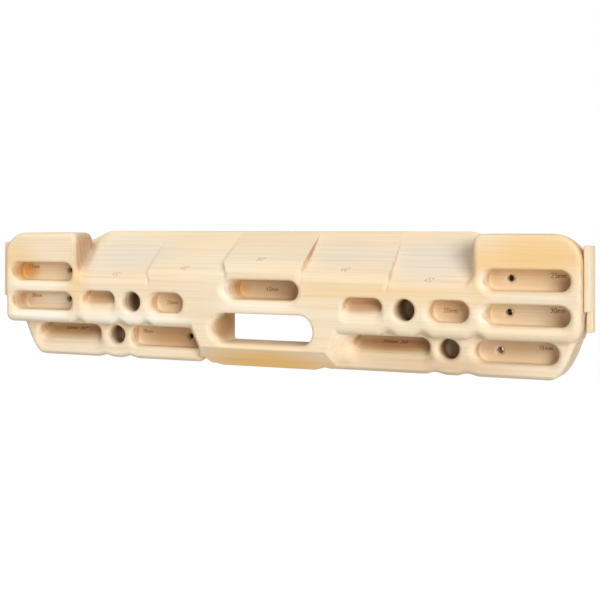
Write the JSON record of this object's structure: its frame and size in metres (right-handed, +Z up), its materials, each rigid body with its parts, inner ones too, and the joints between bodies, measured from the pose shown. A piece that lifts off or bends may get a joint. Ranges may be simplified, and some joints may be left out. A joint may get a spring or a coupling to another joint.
{
  "type": "hangboard",
  "caption": "Wooden hangboard with sloping top, end blocks, rows of finger pockets, a central slot and a narrow rail and batten on each end.",
  "frame": {"origin": "back face, which lies on the wall, at the middle of the length and 75 mm above the lowest point", "axes": "+X along the board to the right as seen from the front, +Y into the wall, +Z up; the holds face -Y"},
  "size_m": [0.713, 0.058, 0.152],
  "materials": {
    "board_wood": "sanded smooth, bare",
    "end_wood": "sanded smooth, bare",
    "dowel_wood": "bare"
  },
  "bodies": {
    "root": {"top_stave": "board_wood", "left_upper_stave": "board_wood", "right_upper_stave": "board_wood", "left_middle_stave": "board_wood", "right_middle_stave": "board_wood", "left_bottom_stave": "board_wood", "right_bottom_stave": "board_wood", "left_rail": "end_wood", "left_batten": "end_wood", "right_rail": "end_wood", "right_batten": "end_wood", "left_rail_dowel_1": "dowel_wood", "left_rail_dowel_2": "dowel_wood", "left_batten_dowel_1": "dowel_wood", "left_batten_dowel_2": "dowel_wood", "right_rail_dowel_1": "dowel_wood", "right_rail_dowel_2": "dowel_wood", "right_batten_dowel_1": "dowel_wood", "right_batten_dowel_2": "dowel_wood"}
  },
  "joints": []
}
